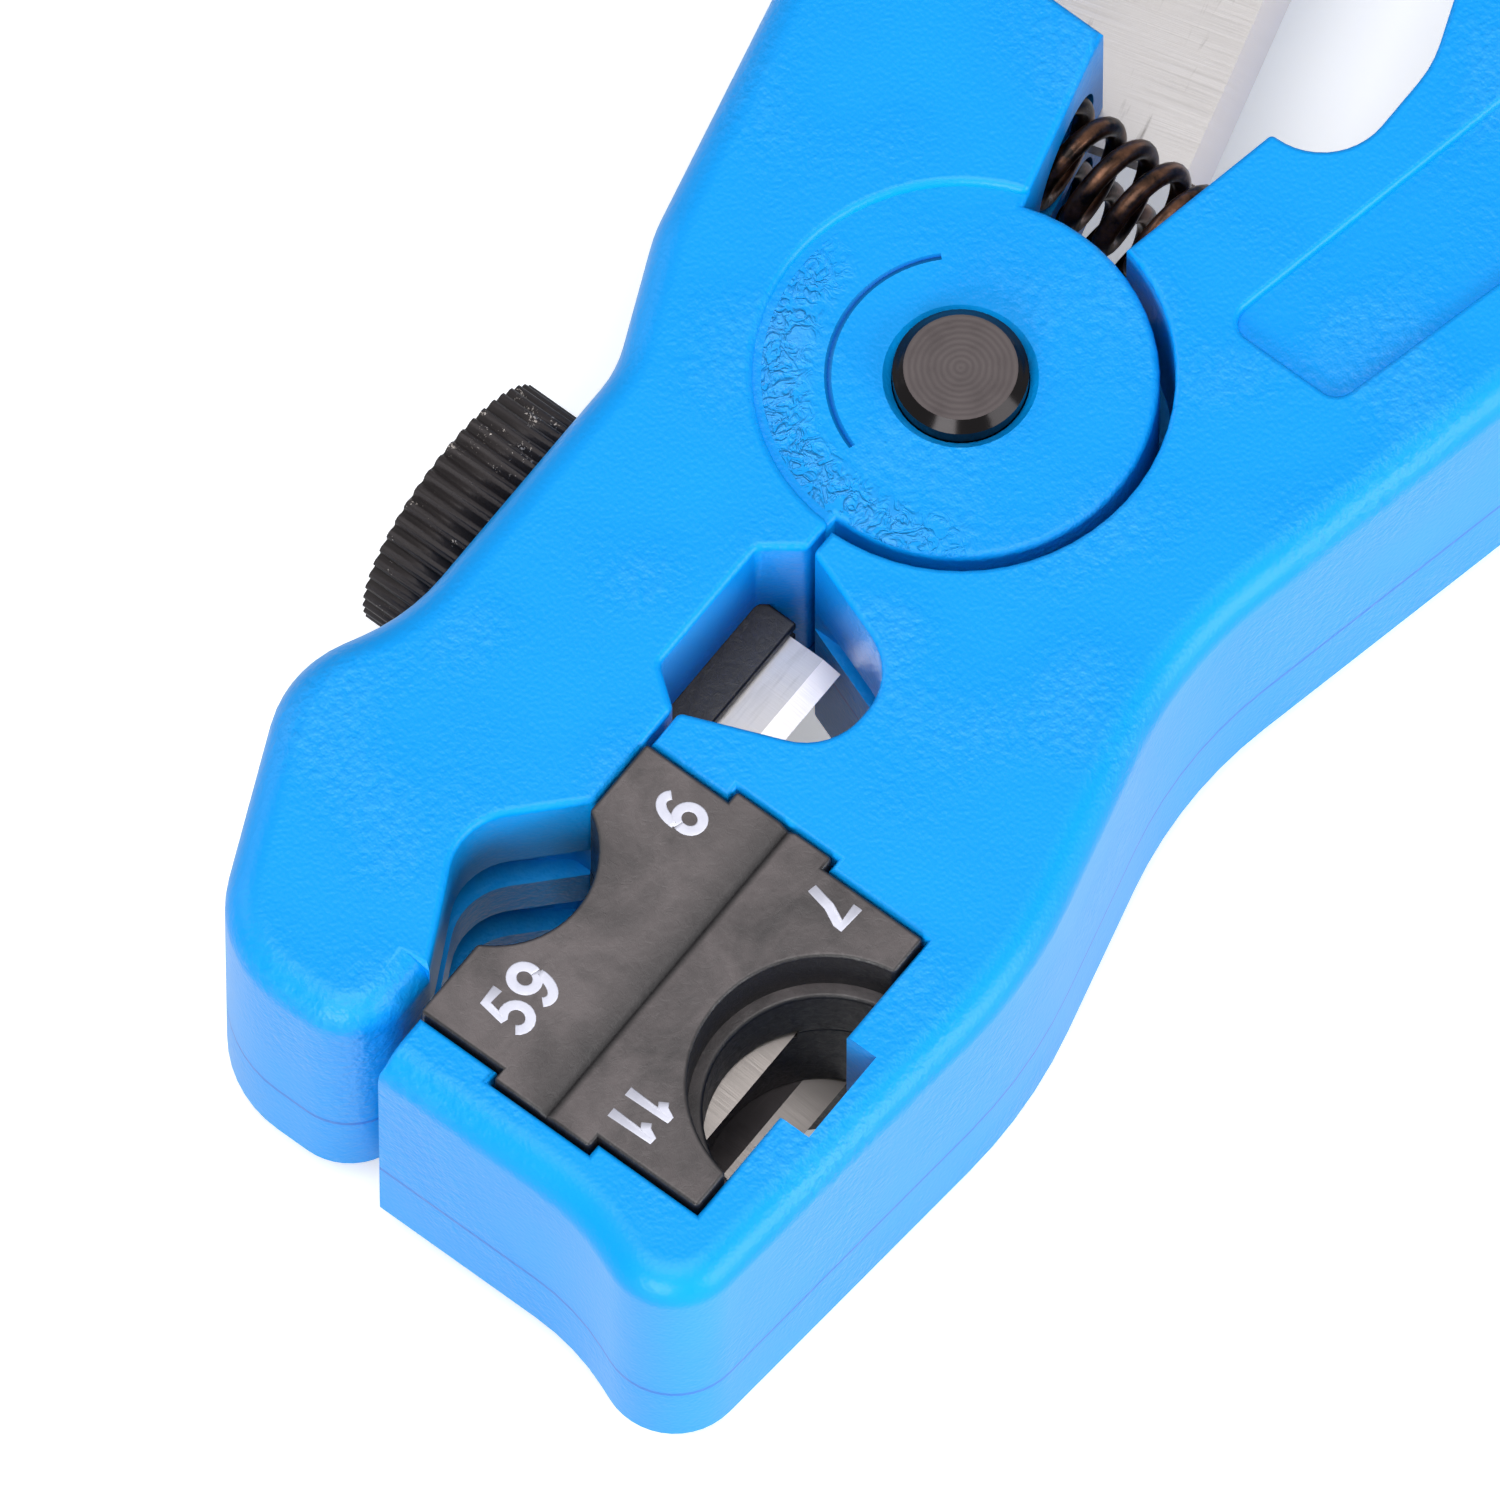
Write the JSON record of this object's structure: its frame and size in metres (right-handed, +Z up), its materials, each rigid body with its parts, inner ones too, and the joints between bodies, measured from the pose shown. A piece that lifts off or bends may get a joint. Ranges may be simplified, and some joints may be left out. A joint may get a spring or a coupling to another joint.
{
  "type": "coaxial cable stripper",
  "caption": "Plier-type coaxial cable stripper: two thick moulded levers on a pin, sprung jaws, reversible stripping cassette, knob-set round-cable blade and handle cutter.",
  "frame": {"origin": "on the pivot pin's axis, at the underside of the tool", "axes": "+X from the pin to the handles along the closed jaws' mating plane, +Y to the lever with the knob, +Z up out of the face with the cassette's numbers"},
  "size_m": [0.1349, 0.0567, 0.0186],
  "materials": {
    "blue_abs": "moulded ABS with a fine wrinkled texture",
    "black_nylon": "moulded glass-filled nylon",
    "black_oxide_steel": "turned steel with black oxide",
    "spring_steel": "oil-blackened spring wire",
    "blade_steel": "ground tool steel",
    "knurled_black": "knurled and blackened",
    "brass": "turned"
  },
  "bodies": {
    "cassette_lever": {"cassette_lever": "blue_abs", "pivot_pin": "black_oxide_steel", "upper_spring": "spring_steel", "lower_spring": "spring_steel"},
    "knob_lever": {"knob_lever": "blue_abs", "cutter_blade": "blade_steel", "heel_blade_screw": "black_oxide_steel", "far_blade_screw": "black_oxide_steel", "friction_washer": "black_nylon"},
    "thumb_screw": {"thumb_screw": "knurled_black", "screw_clip": "spring_steel"},
    "blade_carrier": {"blade_carrier": "black_nylon", "threaded_insert": "brass", "window_blade": "blade_steel", "window_blade_screw": "black_oxide_steel"},
    "cassette": {"cassette_base": "black_nylon", "cassette_spacer": "black_nylon", "cassette_top": "black_nylon", "jacket_blade": "blade_steel", "core_blade": "blade_steel"}
  },
  "joints": [
    {"name": "squeeze", "type": "hinge", "parent": "cassette_lever", "child": "knob_lever", "pos_m": [0, 0, 0.009], "axis": [0, 0, -1], "range_deg": [0, 20], "stiffness_Nm_per_rad": 2, "springref_deg": -8.59, "deforming": ["upper_spring", "lower_spring"]},
    {"name": "knob_turn", "type": "hinge", "parent": "knob_lever", "child": "thumb_screw", "pos_m": [-0.0162, 0.0129, 0.009], "axis": [0, 1, 0], "range_deg": [-1081, 1081]},
    {"name": "blade_feed", "type": "slide", "parent": "knob_lever", "child": "blade_carrier", "axis": [0, -1, 0], "range_m": [-0.0015, 0.0015]},
    {"name": "cassette_slide", "type": "slide", "parent": "cassette_lever", "child": "cassette", "axis": [0, 0, 1], "range_m": [0, 0.0195]}
  ],
  "couplings": [
    {"joint": "knob_turn", "follows": "blade_feed", "rad_per_m": 12566}
  ]
}
